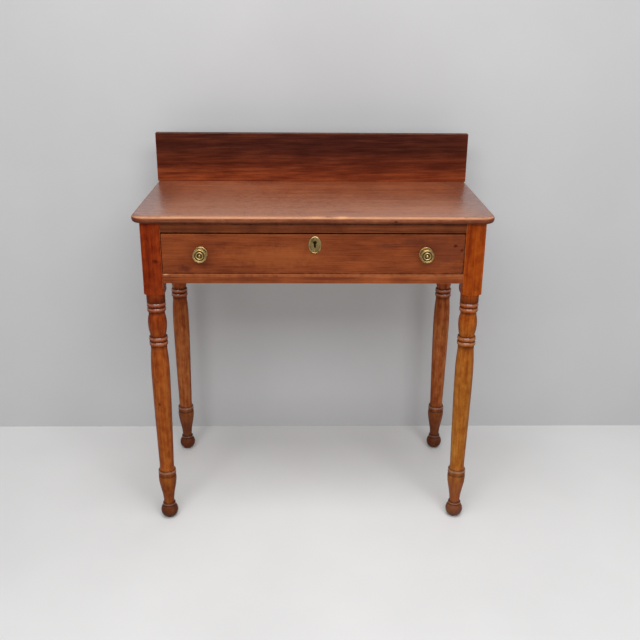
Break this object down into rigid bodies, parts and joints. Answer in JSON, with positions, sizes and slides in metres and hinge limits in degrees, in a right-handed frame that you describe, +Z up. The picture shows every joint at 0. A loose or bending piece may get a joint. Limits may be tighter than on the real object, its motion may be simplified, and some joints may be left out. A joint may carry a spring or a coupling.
{
  "type": "washstand",
  "caption": "Wooden washstand on slender turned legs, with a rounded overhanging top, a plain backsplash and a locking apron drawer with ringed brass knobs.",
  "frame": {"origin": "on the floor, at the middle of the outline's width and depth, which reaches from the knobs to the rear edge of the top", "axes": "+X to the right of someone who faces the drawer, +Y towards the back, +Z up"},
  "size_m": [0.8176, 0.4254, 0.9233],
  "materials": {
    "top_wood": "satin varnish with a sheen",
    "backsplash_wood": "satin varnish, ribbon grain",
    "leg_wood": "satin varnish",
    "rail_wood": "satin varnish",
    "drawer_wood": "satin varnish",
    "inner_wood": "bare planed wood",
    "brass": "aged, with dark grooves",
    "iron": "dark"
  },
  "bodies": {
    "frame": {"front_left_leg": "leg_wood", "front_right_leg": "leg_wood", "rear_left_leg": "leg_wood", "rear_right_leg": "leg_wood", "top_board": "top_wood", "backsplash": "backsplash_wood", "backsplash_left_screw": "iron", "backsplash_middle_screw": "iron", "backsplash_right_screw": "iron", "upper_front_rail": "rail_wood", "lower_front_rail": "rail_wood", "left_side_apron": "rail_wood", "right_side_apron": "rail_wood", "back_apron": "inner_wood", "left_drawer_runner": "inner_wood", "right_drawer_runner": "inner_wood", "left_drawer_guide": "inner_wood", "right_drawer_guide": "inner_wood", "left_kicker": "inner_wood", "right_kicker": "inner_wood", "left_drawer_stop": "inner_wood", "right_drawer_stop": "inner_wood", "left_front_glue_block": "inner_wood", "left_rear_glue_block": "inner_wood", "right_front_glue_block": "inner_wood", "right_rear_glue_block": "inner_wood", "back_left_glue_block": "inner_wood", "back_right_glue_block": "inner_wood"},
    "drawer": {"drawer_front": "drawer_wood", "drawer_left_side": "inner_wood", "drawer_right_side": "inner_wood", "drawer_back": "inner_wood", "drawer_bottom": "inner_wood", "drawer_bottom_left_nail": "iron", "drawer_bottom_middle_nail": "iron", "drawer_bottom_right_nail": "iron", "left_knob": "brass", "right_knob": "brass", "left_knob_spindle": "brass", "right_knob_spindle": "brass", "left_knob_backplate": "brass", "right_knob_backplate": "brass", "left_knob_nut": "brass", "right_knob_nut": "brass", "escutcheon": "brass", "escutcheon_upper_pin": "brass", "escutcheon_lower_pin": "brass", "lock_case": "brass", "lock_lower_left_screw": "iron", "lock_lower_right_screw": "iron", "lock_upper_left_screw": "iron", "lock_upper_right_screw": "iron"},
    "lock_bolt": {"lock_bolt": "brass"}
  },
  "joints": [
    {"name": "drawer_slide", "type": "slide", "parent": "frame", "child": "drawer", "axis": [0, -1, 0], "range_m": [0, 0.26]},
    {"name": "lock_bolt_slide", "type": "slide", "parent": "drawer", "child": "lock_bolt", "axis": [0, 0, 1], "range_m": [0, 0.009]}
  ]
}
